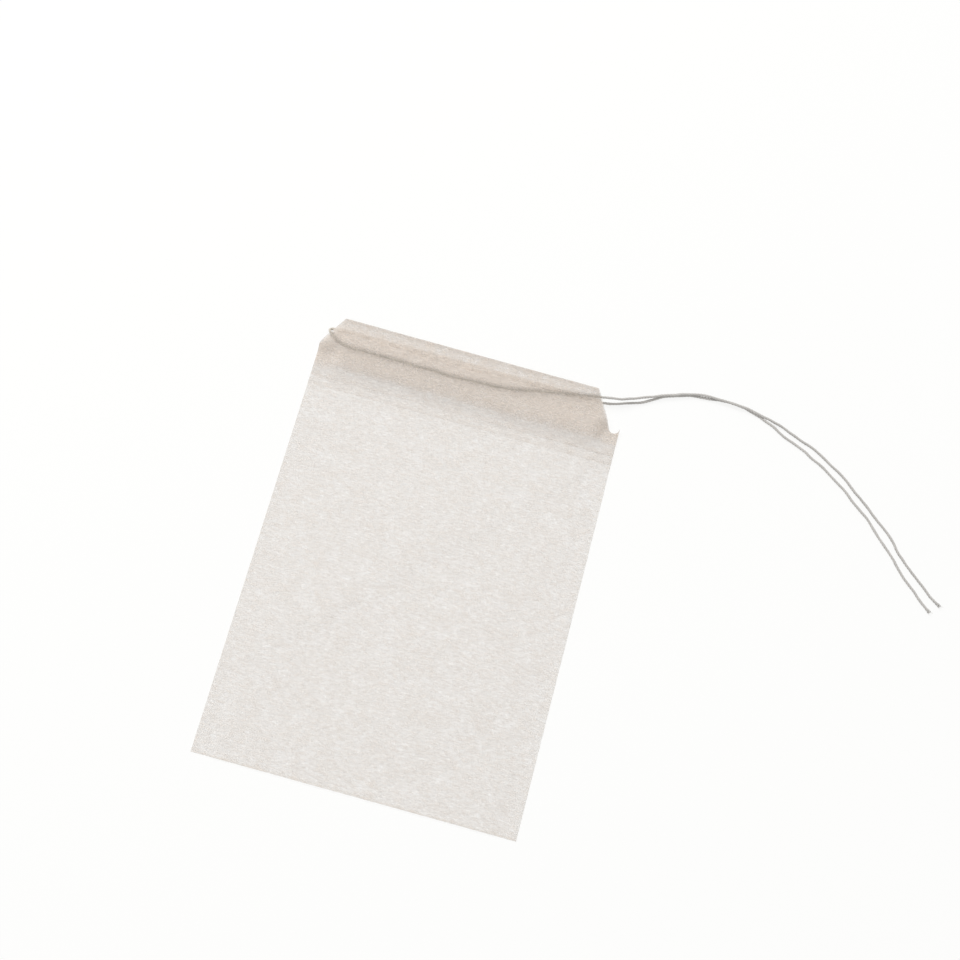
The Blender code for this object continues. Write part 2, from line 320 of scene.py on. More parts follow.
class Drawstring:
    """The thread's centre line, in three stretches: front tail, inside the hems, and rear tail."""

    # Distance between the centre line's points, and the samples of a stretch that they are found from
    STEP = 0.0001
    SAMPLES = 1600
    # Kinks: how far aside they go, how far apart they are, and a smaller set between them, as shares
    KINK = 0.0004
    KINK_RUN = 0.0055
    SMALL_KINK = 0.35
    SMALL_KINK_RUN = 1 / 2.3
    # Length beside an exit over which the kinks fade out
    CALM = 0.006

    def __init__(self, paper, thread):
        self.resting = thread.diameter / 2 + thread.rest_gap
        self.rear_level = paper.thickness + paper.channel / 2
        self.front_level = 3 * paper.thickness + 1.5 * paper.channel + paper.mouth_gap
        front_tail = self.tail_points(FRONT_EXIT, self.front_level, FRONT_TAIL_ROUTE)
        rear_tail = self.tail_points(BACK_EXIT, self.rear_level, BACK_TAIL_ROUTE)
        front = [from_front_fold(x * HALF_WIDTH, s * MM, self.front_level) for x, s in FRONT_HEM_ROUTE]
        rear = [from_front_fold(x * HALF_WIDTH, s * MM, self.rear_level) for x, s in BACK_HEM_ROUTE]
        drop = self.rear_level - self.front_level
        loop = [
            from_front_fold(x * MM - HALF_WIDTH, s * MM, self.front_level + drop * z)
            for x, s, z in LOOP_ROUTE
        ]
        points = front_tail[::-1] + front + loop + rear + rear_tail
        exits = (len(front_tail) - 1, len(points) - len(rear_tail))
        self.front_tail = self.kinked(self.walk(points, 0, exits[0])[::-1], 1.0, 3.7)
        self.in_hems = self.kinked(self.walk(points, *exits), 0.5, 8.1)
        self.rear_tail = self.kinked(self.walk(points, exits[1], len(points) - 1), 1.0, 5.2)
        shown = [(p.x, p.y) for p in self.in_hems]
        turn = min(range(len(shown)), key=lambda i: shown[i][0])
        self.front_line = sorted(shown[:turn])

    def tail_points(self, exit_place, z, route):
        """A tail's points, from where it leaves its hem to its bare end."""
        start = from_front_fold(HALF_WIDTH - exit_place[0] * MM, exit_place[1] * MM, z)
        points = [start]
        for x, y, above in route:
            points.append(Vector((start.x + x * MM, start.y + y * MM, self.resting + above * MM)))
        return points

    def walk(self, points, start, end):
        """Points a fixed step apart along one stretch of the curve."""
        samples = range(self.SAMPLES + 1)
        fine = [on_curve(points, start + (end - start) * i / self.SAMPLES) for i in samples]
        kept = [fine[0]]
        to_next = self.STEP
        for a, b in zip(fine, fine[1:]):
            span = (b - a).length
            while span >= to_next:
                a = a.lerp(b, to_next / span)
                kept.append(a)
                span -= to_next
                to_next = self.STEP
            to_next -= span
        if (fine[-1] - kept[-1]).length < self.STEP / 2:
            kept.pop()
        return kept + [fine[-1]]

    def kinked(self, points, share, seed):
        """Kinks the thread sideways, as when it was folded and pulled. There are no kinks at an exit."""
        bent = []
        for i, point in enumerate(points):
            gone = i * self.STEP
            left = (len(points) - 1 - i) * self.STEP
            free = smooth(gone / self.CALM) * (smooth(left / self.CALM) if share < 1 else 1.0)
            ahead, across = side_of(points, i)
            aside = noise.noise(Vector((gone / self.KINK_RUN, seed, 0.5)))
            small = gone / (self.KINK_RUN * self.SMALL_KINK_RUN)
            aside += self.SMALL_KINK * noise.noise(Vector((small, seed, 7.5)))
            flat = Vector((across.x, across.y, 0)) if abs(ahead.z) < 0.5 else Vector((0, 0, 0))
            bent.append(point + flat * aside * self.KINK * share * free)
        return bent

    def front_height(self, x):
        """Y of the front strand in its hem, at a place across the bag."""
        line = self.front_line
        after = next((i for i, p in enumerate(line) if p[0] >= x), len(line) - 1)
        return line[after][1]


class FoldedSheet:
    """Where each place of the flat sheet comes to lie once it is folded, and how it looks there.

    x runs across the bag, t along the flat sheet, and s up the folded bag from its bottom fold.
    """

    # The front hem stands over its strand like a tent. Half the tent's width, and how far open the hem
    # stays away from the strand, as a share
    TENT = 0.0021
    TENT_REST = 0.5
    # Ripples in the front panel: their height, and how many there are in a metre
    RIPPLE = 0.00009
    RIPPLES = 90
    # Distances between score lines: in the hems, between the folds, over the side seams, and between them
    HEM_SCORES = 0.00042
    PANEL_SCORES = 0.0012
    SEAM_SCORES = 0.0005
    MIDDLE_SCORES = 0.00082
    # Length beside the bottom fold that is scored as closely as the hems
    FOLD_REACH = 0.0045
    # Length over which a crease shows
    CREASE_RUN = 0.0006
    # How dense the paper looks in a seal, where 1 is the open body's, and what is added to that in a hem's
    # channel, towards its fold, on a crease, and beside a flap's cut edge, with that edge's reach
    SEAL_DENSITY = 0.74
    CHANNEL_DENSITY = 0.64
    NEAR_FOLD_DENSITY = 0.6
    CREASE_DENSITY = 0.8
    CUT_DENSITY = 0.5
    CUT_REACH = 0.0013
    # Where each seal's look ends above its band, and over what length. The rear one shows through the
    # other layers, so it ends more softly.
    FRONT_SEAL_END = (0.0002, 0.0008)
    REAR_SEAL_END = (-0.0025, 0.0012)
    # Painted shade, from 0 to 1: in the hollow between both folds, more on its crease, all over
    # the front hem, more beside its flap's cut edge, and over the strand, with each one's reach. It stands in
    # for the shade in the hollow, the light lost under the flap's edge and the strand's shade blurred by the
    # paper. Over the front hem it is partly painted shade and partly the sealed paper's own darker tone.
    HOLLOW_SHADE = 0.06
    HOLLOW_END = (0.0002, 0.0009)
    CREASE_SHADE = 0.06
    HEM_SHADE = 0.032
    FLAP_SHADE = 0.045
    FLAP_REACH = 0.002
    STRAND_SHADE = 0.42
    STRAND_REACH = 0.0005

    def __init__(self, paper, string):
        self.paper = paper
        self.string = string
        self.rear_top = BAG_LENGTH - paper.fold_offset
        self.rear_edge = self.rear_top - paper.hem_depth
        self.front_edge = BAG_LENGTH - paper.hem_depth
        self.climb_start = (self.rear_edge + self.front_edge) / 2 - paper.climb
        self.seam_inner = HALF_WIDTH - paper.side_seam
        self.seam_top = BAG_LENGTH - paper.seam_drop
        self.rear_crease = paper.hem_depth
        self.bottom_crease = self.rear_crease + self.rear_top
        self.front_crease = self.bottom_crease + BAG_LENGTH
        self.end = self.front_crease + paper.hem_depth
        self.strands = {}
        hem_radius = (paper.channel + paper.thickness) / 2
        body_radius = (paper.mouth_gap + paper.thickness) / 2
        self.folds = [
            (self.rear_crease, hem_radius, self.rear_top, 1, self.rear_flap, self.rear_panel),
            (self.bottom_crease, body_radius, 0.0, -1, self.rear_panel, self.front_panel),
            (self.front_crease, hem_radius, BAG_LENGTH, 1, self.front_panel, self.front_flap),
        ]

    def strand(self, x):
        """Distance up the bag of the front strand at x, kept for the places already asked for."""
        key = round(x, 5)
        if key not in self.strands:
            self.strands[key] = self.string.front_height(x) + BAG_LENGTH / 2
        return self.strands[key]

    def lift(self, x, s):
        """How far the layers are open, from the distance to the nearer side seam."""
        across = max(0.0, self.seam_inner - abs(x))
        above = max(0.0, s - self.seam_top)
        return smooth(math.hypot(across, above) / self.paper.seam_relief)

    def opening(self, from_edge):
        """Height of a hem's channel, from the distance up from its flap's cut edge."""
        return self.paper.channel * smooth((from_edge - self.paper.hem_seal) / self.paper.hem_ramp)

    def rear_opening(self, s):
        return self.opening(s - self.rear_edge)

    def front_opening(self, x, s):
        """The front hem lies lower away from the strand that holds it up."""
        off_strand = (s - self.strand(x)) / self.TENT
        tent = self.TENT_REST + (1 - self.TENT_REST) / (1 + off_strand * off_strand)
        return self.opening(s - self.front_edge) * tent

    def rear_panel(self, x, s):
        return self.paper.thickness / 2

    def rear_flap(self, x, s):
        pressed = self.paper.thickness + self.paper.ply_gap
        return self.rear_panel(x, s) + pressed + self.lift(x, s) * self.rear_opening(s)

    def front_flap(self, x, s):
        pressed = 2 * (self.paper.thickness + self.paper.ply_gap)
        opened = self.rear_opening(s) + self.paper.mouth_gap
        return self.paper.thickness / 2 + pressed + self.lift(x, s) * opened

    def front_panel(self, x, s):
        on_flaps = smooth((s - self.climb_start) / self.paper.climb)
        pressed = (1 + 2 * on_flaps) * (self.paper.thickness + self.paper.ply_gap)
        opened = self.rear_opening(s) + self.front_opening(x, s) + self.paper.mouth_gap
        across = max(0.0, 1 - (x / self.seam_inner) ** 2)
        slack = self.paper.slack * across * math.sin(math.pi * min(s / self.rear_edge, 1.0))
        humped = 1 + math.sin(math.pi * min(s / BAG_LENGTH, 1))
        ripple = self.RIPPLE * noise.noise(Vector((x, s, 0.3)) * self.RIPPLES) * humped
        lift = self.lift(x, s)
        return self.paper.thickness / 2 + pressed + lift * (opened + ripple) + slack

    def place(self, x, t):
        """Middle of the paper at a place of the flat sheet."""
        layers = (self.rear_flap, self.rear_panel, self.front_panel, self.front_flap)
        passed = 0
        for crease, radius, outermost, way, before, after in self.folds:
            half = self.paper.thickness / 2 + radius
            past = t - crease
            if abs(past) < half:
                angle = math.pi / 2 * past / half
                turn = outermost - way * half
                high = before(x, turn)
                low = after(x, turn)
                along = turn + way * radius * math.cos(angle)
                level = (high + low) / 2 - (high - low) / 2 * math.sin(angle)
                return Vector((x, along - BAG_LENGTH / 2, level))
            if past > 0:
                passed += 1
        starts = (self.rear_edge, self.rear_top, 0.0, BAG_LENGTH)
        marks = (0.0, self.rear_crease, self.bottom_crease, self.front_crease)
        ways = (1, -1, 1, -1)
        s = starts[passed] + ways[passed] * (t - marks[passed])
        return Vector((x, s - BAG_LENGTH / 2, layers[passed](x, s)))

    def density(self, x, t):
        """How dense the paper looks against the open body: less in a seal, more in hems and folds."""
        from_front = abs(t - self.front_crease)
        near = min(from_front, abs(t - self.rear_crease))
        sealed = self.paper.hem_depth - self.paper.hem_seal
        creased = self.CREASE_DENSITY * self.creasing(t)
        if near > self.paper.hem_depth:
            return 1.0 + creased
        offset, run = self.FRONT_SEAL_END if near == from_front else self.REAR_SEAL_END
        channel = smooth((sealed + offset - near) / run)
        added = self.CHANNEL_DENSITY + self.NEAR_FOLD_DENSITY * (1 - near / sealed)
        from_cut = min(t, self.end - t)
        cut = self.CUT_DENSITY * (1 - smooth(from_cut / self.CUT_REACH))
        return self.SEAL_DENSITY + added * channel + creased + cut

    def shade(self, x, t):
        """Painted shade: how dark the paper is made in the hollow of the front fold, over the flap and over
        the strand.
        """
        from_front = t - self.front_crease
        offset, run = self.HOLLOW_END
        hollow = 1 - smooth((abs(from_front) - self.paper.fold_offset + offset) / run)
        shaded = (self.HOLLOW_SHADE + self.CREASE_SHADE * self.creasing(t)) * hollow
        if -self.paper.hem_depth < from_front < 0:
            from_flap_edge = from_front + self.paper.hem_depth
            shaded += self.HEM_SHADE + self.FLAP_SHADE * (1 - smooth(from_flap_edge / self.FLAP_REACH))
            off_strand = (self.front_crease - t) - (BAG_LENGTH - self.strand(x))
            shaded += self.STRAND_SHADE * math.exp(-((off_strand / self.STRAND_REACH) ** 2))
        return shaded

    def creasing(self, t):
        """1 along each crease, falling to 0 beside it."""
        near = min(abs(t - crease) - self.paper.thickness - radius for crease, radius, *_ in self.folds)
        return 1 - smooth(near / self.CREASE_RUN + 0.5)

    def rows(self):
        """Score lines across the flat sheet: close together in the hems and folds."""
        hem = self.paper.hem_depth + self.paper.hem_seal
        marks = [(0.0, self.HEM_SCORES)]
        for crease, radius, _, way, _, _ in self.folds:
            half = self.paper.thickness / 2 + radius
            reach = hem if way > 0 else self.FOLD_REACH
            marks += [
                (max(0.0, crease - reach), self.HEM_SCORES),
                (crease - half, half / 4),
                (crease + half, self.HEM_SCORES),
                (min(self.end, crease + reach), self.PANEL_SCORES),
            ]
        marks = sorted(m for m in marks if m[0] < self.end)
        places = []
        for (start, spacing), (end, _) in zip(marks, marks[1:] + [(self.end, 0)]):
            if end - start > 1e-6:
                places += even(start, end, spacing)[:-1]
        return places[1:]

    def columns(self):
        """Score lines along the flat sheet: closer together beside the side seams."""
        inner = self.seam_inner - self.paper.seam_relief
        side = even(inner, HALF_WIDTH, self.SEAM_SCORES)[:-1]
        return [-x for x in reversed(side)] + even(-inner, inner, self.MIDDLE_SCORES)[1:-1] + side


def left_profile(paper):
    """The left corner's cut: places in from the middle and up from the bottom fold, from the top down."""
    corner = Vector((paper.left_cut_in - HALF_WIDTH, BAG_LENGTH))
    shoulder = Vector((-HALF_WIDTH, BAG_LENGTH - paper.left_cut_down))
    return [corner, shoulder]


def right_profile(paper):
    """The right corner's cut: a slant down to the half of a punched hole, which leaves a hooked tip."""
    corner = Vector((HALF_WIDTH - paper.right_cut_in, BAG_LENGTH))
    hole = Vector((HALF_WIDTH - paper.hole_radius, BAG_LENGTH - paper.hole_down))
    to_corner = corner - hole
    tangent = math.atan2(to_corner.y, to_corner.x) + math.acos(paper.hole_radius / to_corner.length)
    steps = 14
    angles = [tangent + (2 * math.pi - tangent) * i / steps for i in range(steps + 1)]
    return [corner] + [hole + paper.hole_radius * Vector((math.cos(a), math.sin(a))) for a in angles]


def below(profile, top):
    """The part of a corner's cut that lies below a fold."""
    first, second = profile[:2]
    share = (first.y - top) / (first.y - second.y)
    return [first.lerp(second, share), *profile[1:]]


def blank_outline(paper, sheet):
    """Outline of the flat sheet, whose corner cuts are mirrored about both hem folds."""
    sides = []
    for profile, edge in ((left_profile(paper), -HALF_WIDTH), (right_profile(paper), HALF_WIDTH)):
        side = [Vector((edge, 0.0))]
        for crease, top in ((sheet.rear_crease, sheet.rear_top), (sheet.front_crease, BAG_LENGTH)):
            cut = below(profile, top)
            side += [Vector((p.x, crease - (top - p.y))) for p in reversed(cut)]
            side += [Vector((p.x, crease + (top - p.y))) for p in cut[1:]]
        side.append(Vector((edge, sheet.end)))
        sides.append(side)
    return sides[1] + sides[0][::-1]


def score(bm, axis, places):
    """Scores the blank across at each place, so that it can bend there."""
    normal = Vector((0, 0, 0))
    normal[axis] = 1.0
    rest = bm.faces[:]
    for place in places:
        edges = {edge for face in rest for edge in face.edges}
        corners = {corner for face in rest for corner in face.verts}
        origin = normal * place
        bmesh.ops.bisect_plane(
            bm, geom=[*corners, *edges, *rest], dist=1e-7, plane_co=origin, plane_no=normal
        )
        rest = [face for face in bm.faces if face.calc_center_median()[axis] > place]


# The rim along every cut edge: its width, how much denser it looks, and on the edge of a flap, which shows
# through the panel, how much denser and darker it looks
RIM = 0.0003
RIM_DENSITY = 0.6
FLAP_RIM_DENSITY = 2.2
FLAP_RIM_SHADE = 0.2


def flat_blank(paper, sheet):
    """The sheet before it is folded: outline, rim, score lines and the coordinates that its fibres follow."""
    bm = bmesh.new()
    for mark in ("rim", "web_density", "web_painted_shade"):
        bm.verts.layers.float.new(mark)
    rim = bm.verts.layers.float["rim"]
    outline = bm.faces.new([bm.verts.new((p.x, p.y, 0)) for p in blank_outline(paper, sheet)])
    for corner in outline.verts:
        corner[rim] = 1.0
    bmesh.ops.inset_region(bm, faces=[outline], thickness=RIM, use_boundary=True, use_even_offset=True)
    inner = [corner for corner in bm.verts if not corner.is_boundary]
    for corner in inner:
        corner[rim] = 0.0
    score(bm, 1, sheet.rows())
    score(bm, 0, sheet.columns())
    fibres = bm.loops.layers.uv.new("sheet")
    for face in bm.faces:
        for loop in face.loops:
            loop[fibres].uv = loop.vert.co.xy
    return bm


def fold_blank(bm, sheet):
    """Folds the scored blank, and notes how dense it looks and how much painted shade it takes at each place.
    """
    rim, density, shade = (bm.verts.layers.float[mark] for mark in ("rim", "web_density", "web_painted_shade"))
    for corner in bm.verts:
        x, t, _ = corner.co
        flap_edge = min(t, sheet.end - t) < RIM / 2
        corner[density] = sheet.density(x, t) + (FLAP_RIM_DENSITY if flap_edge else RIM_DENSITY) * corner[rim]
        corner[shade] = sheet.shade(x, t) + (FLAP_RIM_SHADE if flap_edge else 0.0) * corner[rim]
        corner.co = sheet.place(x, t)


def scale_for(size):
    """A pattern's scale, from the size of its grains in millimetres."""
    return 1 / (size * MM)


def filter_paper(paper):
    """Unbleached heat-seal filter paper: a wet-laid web of long plant fibres, thin enough to see through.

    Light goes partly straight through it and is partly scattered. Its fibres lie in clouds, with single
    ones showing as fine streaks, mostly along the roll.
    """
    made, tree, output = new_material("unbleached_heat_seal_filter_paper")
    sheet = add_node(tree, "ShaderNodeUVMap", uv_map="sheet")
    # Fibre clouds of 3 to 5 mm, drawn out along the roll
    cloud_scale = (scale_for(4.762), scale_for(3.03), 1)
    along = add_node(tree, "ShaderNodeMapping", {"Vector": sheet.outputs["UV"], "Scale": cloud_scale})
    clouds = add_node(
        tree,
        "ShaderNodeTexNoise",
        {"Vector": along.outputs["Vector"], "Scale": 1.0, "Detail": 2.0, "Roughness": 0.6},
        noise_dimensions="2D",
    )
    # Single fibres and bundles of them, 1 to 2 mm long, mostly at a small angle to the roll. Real fibres
    # are 0.02 mm thick, and these are drawn at about 0.3 mm so that they show. They lie in three layers,
    # each with its turn from the roll and the place where its pattern starts.
    fibre_scale = (scale_for(1.5625), scale_for(0.4762), 1)
    streaks = []
    for turn, place in ((-0.27, 0.0), (-0.1, 5.0), (-0.5, 9.0)):
        laid = add_node(
            tree,
            "ShaderNodeMapping",
            {
                "Vector": sheet.outputs["UV"],
                "Location": (place, place, 0),
                "Rotation": (0, 0, turn),
                "Scale": fibre_scale,
            },
        )
        fibre = add_node(
            tree,
            "ShaderNodeTexNoise",
            {"Vector": laid.outputs["Vector"], "Scale": 1.0, "Detail": 0.0},
            noise_dimensions="2D",
        )
        streaks.append(fibre.outputs["Fac"])
    # Where the web is thin between fibres it lets more light through, and where they bundle it lets less
    crossed = add_node(tree, "ShaderNodeMath", {0: streaks[0], 1: streaks[1]}, operation="MAXIMUM")
    thin = add_node(
        tree,
        "ShaderNodeMapRange",
        {"Value": crossed.outputs[0], "From Min": 0.67, "From Max": 0.85, "To Min": 0.0, "To Max": -0.55},
    )
    matted = add_node(tree, "ShaderNodeMath", {0: streaks[0], 1: streaks[2]}, operation="MINIMUM")
    thick = add_node(
        tree,
        "ShaderNodeMapRange",
        {"Value": matted.outputs[0], "From Min": 0.36, "From Max": 0.2, "To Min": 0.0, "To Max": 0.7},
    )
    # How dense the web is here: 1 on average
    cloud = add_node(
        tree,
        "ShaderNodeMapRange",
        {"Value": clouds.outputs["Fac"], "From Min": 0.25, "From Max": 0.75, "To Min": 0.7, "To Max": 1.3},
    )
    marked = add_node(tree, "ShaderNodeMath", {0: thin.outputs["Result"], 1: thick.outputs["Result"]})
    formed = add_node(tree, "ShaderNodeMath", {0: cloud.outputs["Result"], 1: marked.outputs[0]})
    laid_density = add_node(tree, "ShaderNodeAttribute", attribute_name="web_density")
    density = add_node(
        tree, "ShaderNodeMath", {0: formed.outputs[0], 1: laid_density.outputs["Fac"]}, operation="MULTIPLY"
    )
    opacity = add_node(
        tree,
        "ShaderNodeMath",
        {0: density.outputs[0], 1: paper.opacity},
        operation="MULTIPLY",
        use_clamp=True,
    )
    # The paper's colour, mixed towards its shaded colour by the painted shade that the folding noted
    shade = add_node(tree, "ShaderNodeAttribute", attribute_name="web_painted_shade")
    tone = add_node(
        tree,
        "ShaderNodeMix",
        {"Factor": shade.outputs["Fac"], "A": paper.base[:], "B": paper.shadow[:]},
        data_type="RGBA",
    )
    relief = add_node(tree, "ShaderNodeBump", {"Height": streaks[0], "Strength": 0.3, "Distance": 0.00003})
    face = add_node(
        tree,
        "ShaderNodeBsdfPrincipled",
        {
            "Base Color": tone.outputs["Result"],
            "Roughness": 0.92,
            "IOR": 1.47,
            "Specular IOR Level": 0.2,
            "Normal": relief.outputs["Normal"],
        },
    )
    glow = add_node(tree, "ShaderNodeBsdfTranslucent", {"Color": tone.outputs["Result"]})
    scattered = add_node(tree, "ShaderNodeMixShader", {"Fac": 0.5, 1: face.outputs[0], 2: glow.outputs[0]})
    straight = add_node(tree, "ShaderNodeBsdfTransparent")
    mixed = add_node(
        tree,
        "ShaderNodeMixShader",
        {"Fac": opacity.outputs[0], 1: straight.outputs[0], 2: scattered.outputs[0]},
    )
    tree.links.new(mixed.outputs[0], output.inputs["Surface"])
    return made


def cotton_thread(name, base):
    """Unbleached spun cotton, twisted from three plies: matte, a little fuzzy, darker between them."""
    made, tree, output = new_material(name)
    place = add_node(tree, "ShaderNodeTexCoord")
    # Spun fibres about 0.1 mm apart, too fine to show singly
    fibres = add_node(
        tree,
        "ShaderNodeTexNoise",
        {"Vector": place.outputs["Object"], "Scale": scale_for(0.1111), "Detail": 3.0, "Roughness": 0.6},
    )
    # Paler and darker stretches of the yarn, about 2.4 mm long
    slubs = add_node(
        tree,
        "ShaderNodeTexNoise",
        {"Vector": place.outputs["Object"], "Scale": scale_for(2.381), "Detail": 1.0, "Roughness": 0.5},
    )
    darker = [0.82 * channel for channel in base[:3]] + [1.0]
    shade = add_node(
        tree,
        "ShaderNodeMix",
        {"Factor": slubs.outputs["Fac"], "A": base[:], "B": darker},
        data_type="RGBA",
    )
    relief = add_node(
        tree, "ShaderNodeBump", {"Height": fibres.outputs["Fac"], "Strength": 0.5, "Distance": 0.00003}
    )
    cotton = add_node(
        tree,
        "ShaderNodeBsdfPrincipled",
        {
            "Base Color": shade.outputs["Result"],
            "Roughness": 0.9,
            "IOR": 1.5,
            "Specular IOR Level": 0.2,
            "Sheen Weight": 0.15,
            "Sheen Roughness": 0.5,
            "Normal": relief.outputs["Normal"],
        },
    )
    tree.links.new(cotton.outputs[0], output.inputs["Surface"])
    return made


def link_piece(name, mesh, look, node):
    """Puts a finished mesh in the scene, in place of the CAD node that it stands for."""
    piece = bpy.data.objects.new(name, mesh)
    bpy.context.scene.collection.objects.link(piece)
    mesh.materials.clear()
    mesh.materials.append(look)
    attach(piece, BODY)
    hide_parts(node)
    return piece


def evaluated_mesh(made, name):
    """The mesh that an object's modifiers or bevel make. The object itself goes."""
    bpy.context.scene.collection.objects.link(made)
    bpy.context.view_layer.update()
    graph = bpy.context.evaluated_depsgraph_get()
    mesh = bpy.data.meshes.new_from_object(made.evaluated_get(graph), depsgraph=graph)
    mesh.name = name
    bpy.data.objects.remove(made, do_unlink=True)
    return mesh


class TEABAG_OT_paper(bpy.types.Operator):
    """Fold the pouch from its flat sheet of filter paper"""

    bl_idname = "teabag.paper"
    bl_label = "Fold the pouch"

    def execute(self, context):
        paper = context.scene.teabag_paper
        sheet = FoldedSheet(paper, Drawstring(paper, context.scene.teabag_thread))
        bm = flat_blank(paper, sheet)
        fold_blank(bm, sheet)
        bmesh.ops.recalc_face_normals(bm, faces=bm.faces[:])
        mesh = bpy.data.meshes.new("folded_sheet")
        bm.to_mesh(mesh)
        bm.free()
        folded = bpy.data.objects.new("folded_sheet", mesh)
        wall = folded.modifiers.new("paper_thickness", "SOLIDIFY")
        wall.thickness = paper.thickness
        wall.offset = 0.0
        walled = evaluated_mesh(folded, "pouch_paper")
        walled.shade_smooth()
        walled.set_sharp_from_angle(angle=math.radians(50))
        look = filter_paper(paper)
        pouch = link_piece("pouch_paper", walled, look, "filter_pouch")
        return {"FINISHED"}


# Each ply's radius and its distance from the thread's middle, as shares of the thread's thickness, how much
# a ply swells and thins, as a share of its own, and over what length
PLY_RADIUS = 0.33
PLY_REACH = 0.29
SWELL = 0.22
SWELL_RUN = 0.0016
# At a bare end: the length over which the plies open, and how much further out they come
FRAY = 0.0015
FRAY_REACH = 0.8
# The loose fibres there: their number, how far back they start and how far out, as a share of the thread's
# thickness, their length, by how much it varies, how far they bend out, as a share of it, their gap to the
# surface, and their widths from root to tip, as shares of a ply's
LOOSE_FIBRES = 7
FIBRE_START = 0.0004
FIBRE_OUT = 0.2
FIBRE_LENGTH = 0.0007
FIBRE_VARIES = 0.0003
FIBRE_BEND = 0.45
FIBRE_GAP = 0.00002
FIBRE_WIDTHS = (0.16, 0.16, 0.14, 0.12, 0.1)


def ply_points(points, thread, ply, walked, frayed):
    """One ply's centre line, twisted round the thread's. It opens towards a bare end."""
    reach = thread.diameter * PLY_REACH
    lowest = thread.diameter * PLY_RADIUS * (1 + SWELL / 2)
    last = len(points) - 1
    turned = []
    for i, point in enumerate(points):
        ahead, across = side_of(points, i)
        turns = (walked + i * Drawstring.STEP) / thread.twist + ply / thread.plies
        loose = smooth(1 - (last - i) * Drawstring.STEP / FRAY) if frayed else 0.0
        out = across * math.cos(2 * math.pi * turns) + ahead.cross(across) * math.sin(2 * math.pi * turns)
        place = point + out * reach * (1 + FRAY_REACH * loose)
        turned.append(Vector((place.x, place.y, max(place.z, lowest))))
    return turned


def add_strand(curve, route, widths):
    """One round strand along a route, with its width at each point as a share of the curve's bevel."""
    spline = curve.splines.new("POLY")
    spline.points.add(len(route) - 1)
    for place, point, width in zip(spline.points, route, widths):
        place.co = (*point, 1.0)
        place.radius = width


def add_loose_fibres(curve, end, ahead, across, thread):
    """Fibres that stand out from a bare end, where the plies have opened."""
    lowest = end.z - thread.diameter / 2 + FIBRE_GAP
    spans = len(FIBRE_WIDTHS) - 1
    for i in range(LOOSE_FIBRES):
        turn = 2 * math.pi * i / LOOSE_FIBRES + 0.4
        out = across * math.cos(turn) + ahead.cross(across) * math.sin(turn)
        start = end - ahead * FIBRE_START + out * thread.diameter * FIBRE_OUT
        reach = FIBRE_LENGTH + FIBRE_VARIES * math.sin(5 * i)
        route = []
        for share in even(0, 1, 1 / spans):
            place = start + ahead * reach * share + out * reach * FIBRE_BEND * share**2
            route.append(Vector((place.x, place.y, max(place.z, lowest))))
        add_strand(curve, route, FIBRE_WIDTHS)


def twisted_thread(name, points, thread, walked=0.0, frayed=False):
    """A stretch of the three-ply thread as a mesh. Its plies swell and thin a little along their length."""
    curve = bpy.data.curves.new(name, "CURVE")
    curve.dimensions = "3D"
    curve.bevel_depth = thread.diameter * PLY_RADIUS
    curve.bevel_resolution = 1
    curve.use_fill_caps = True
    for ply in range(thread.plies):
        route = ply_points(points, thread, ply, walked, frayed)
        widths = []
        for i in range(len(route)):
            along = (walked + i * Drawstring.STEP) / SWELL_RUN
            widths.append(1 + SWELL * noise.noise(Vector((along, 2.5 * ply, 0.5))))
        add_strand(curve, route, widths)
    if frayed:
        ahead, across = side_of(points, len(points) - 1)
        add_loose_fibres(curve, points[-1], ahead, across, thread)
    mesh = evaluated_mesh(bpy.data.objects.new(name, curve), name)
    mesh.shade_smooth()
    return mesh


class TEABAG_OT_drawstring(bpy.types.Operator):
    """Lay the drawstring through the hems, with its two free tails"""

    bl_idname = "teabag.drawstring"
    bl_label = "Lay the drawstring"

    def execute(self, context):
        thread = context.scene.teabag_thread
        string = Drawstring(context.scene.teabag_paper, thread)
        look = cotton_thread("unbleached_spun_cotton_thread", thread.base)
        # Paper blurs what lies under it. To stand in for that, the stretch in the hems is painted paler, and
        # painted shade on the paper itself marks the strand
        paler_painted_cotton = cotton_thread("spun_cotton_thread_painted_paler", thread.hidden)
        hidden = twisted_thread("thread_in_hems", string.in_hems, thread)
        link_piece("thread_in_hems", hidden, paler_painted_cotton, "drawstring")
        # Each tail goes on with the twist that the stretch in the hems has at its exit
        tails = (
            ("front_tail", string.front_tail, thread.twist / 2),
            ("rear_tail", string.rear_tail, (len(string.in_hems) - 1) * Drawstring.STEP),
        )
        for name, route, walked in tails:
            mesh = twisted_thread(name, route, thread, walked, frayed=True)
            tail = link_piece(name, mesh, look, "drawstring")
        return {"FINISHED"}


def seen_share(tree, strength):
    """Light Path switch: strength for what the eye sees, directly or in gloss or glass, 0 for lighting."""
    path = add_node(tree, "ShaderNodeLightPath")
    seen = add_node(
        tree,
        "ShaderNodeMath",
        {0: path.outputs["Is Camera Ray"], 1: path.outputs["Is Glossy Ray"]},
        operation="MAXIMUM",
    )
    through = add_node(
        tree,
        "ShaderNodeMath",
        {0: seen.outputs[0], 1: path.outputs["Is Transmission Ray"]},
        operation="MAXIMUM",
    )
    share = add_node(tree, "ShaderNodeMath", {0: through.outputs[0], 1: strength}, operation="MULTIPLY")
    return share.outputs[0]


# Share of the table's look that is plain white. The rest takes the bag's shadow.
PLAIN_WHITE = 0.86


